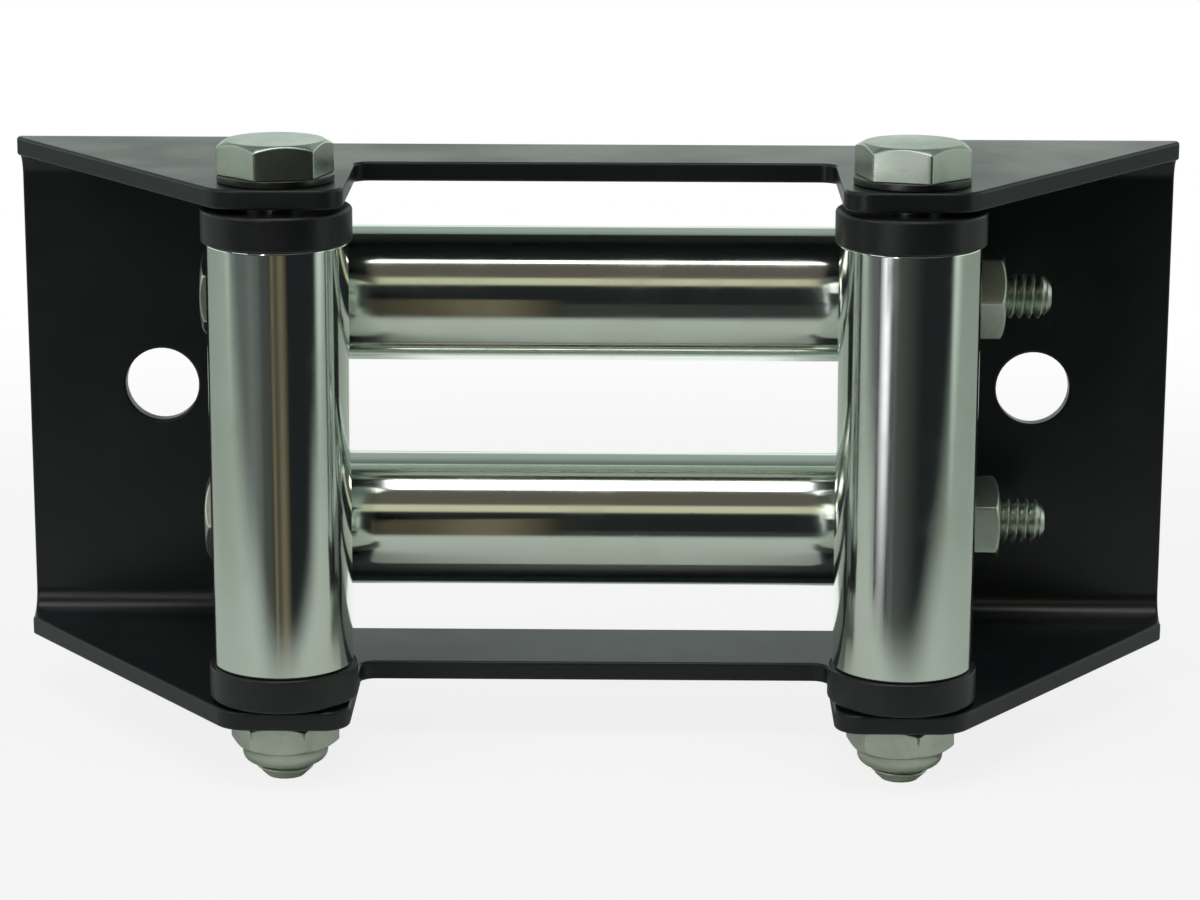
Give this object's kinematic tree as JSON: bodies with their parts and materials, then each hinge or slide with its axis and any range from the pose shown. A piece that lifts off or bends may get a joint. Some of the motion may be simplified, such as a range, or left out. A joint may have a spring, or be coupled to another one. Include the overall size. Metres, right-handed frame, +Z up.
{
  "type": "roller fairlead",
  "caption": "Bent steel bracket with two upright rollers in front of two level rollers, guiding a winch rope or cable from any direction; bolts on through its back plate.",
  "frame": {"origin": "on the back face of the bracket, midway between the two mounting holes", "axes": "+X along the fairlead to the end with the level bolts' nuts, +Y back into the surface it is bolted to, +Z up, towards the upright bolts' heads"},
  "size_m": [0.1616, 0.0534, 0.0857],
  "materials": {
    "black_coat": "semi-gloss black powder coat",
    "plated_tube": "bright plated steel tube",
    "bright_zinc": "bright zinc plate",
    "dark_zinc": "dark zinc plate",
    "black_nylon": "moulded black nylon",
    "pale_nylon": "pale nylon ring"
  },
  "bodies": {
    "bracket_assembly": {"bracket": "black_coat", "left_bolt_washer": "dark_zinc", "left_roller_bolt": "bright_zinc", "left_lock_nut": "bright_zinc", "left_lock_nut_insert": "pale_nylon", "right_bolt_washer": "dark_zinc", "right_roller_bolt": "bright_zinc", "right_lock_nut": "bright_zinc", "right_lock_nut_insert": "pale_nylon", "upper_head_washer": "bright_zinc", "upper_nut_washer": "bright_zinc", "upper_roller_bolt": "bright_zinc", "upper_hex_nut": "bright_zinc", "lower_head_washer": "bright_zinc", "lower_nut_washer": "bright_zinc", "lower_roller_bolt": "bright_zinc", "lower_hex_nut": "bright_zinc"},
    "left_roller": {"left_roller_tube": "plated_tube", "left_top_bushing": "black_nylon", "left_bottom_bushing": "black_nylon"},
    "right_roller": {"right_roller_tube": "plated_tube", "right_top_bushing": "black_nylon", "right_bottom_bushing": "black_nylon"},
    "upper_roller": {"upper_roller_tube": "plated_tube", "upper_left_bushing": "black_nylon", "upper_right_bushing": "black_nylon"},
    "lower_roller": {"lower_roller_tube": "plated_tube", "lower_left_bushing": "black_nylon", "lower_right_bushing": "black_nylon"}
  },
  "joints": [
    {"name": "left_roller_spin", "type": "hinge", "parent": "bracket_assembly", "child": "left_roller", "pos_m": [-0.0411, -0.0436, 0], "axis": [0, 0, 1], "continuous": true},
    {"name": "right_roller_spin", "type": "hinge", "parent": "bracket_assembly", "child": "right_roller", "pos_m": [0.0411, -0.0436, 0], "axis": [0, 0, 1], "continuous": true},
    {"name": "upper_roller_spin", "type": "hinge", "parent": "bracket_assembly", "child": "upper_roller", "pos_m": [0, -0.0156, 0.016], "axis": [1, 0, 0], "continuous": true},
    {"name": "lower_roller_spin", "type": "hinge", "parent": "bracket_assembly", "child": "lower_roller", "pos_m": [0, -0.0156, -0.016], "axis": [1, 0, 0], "continuous": true}
  ]
}
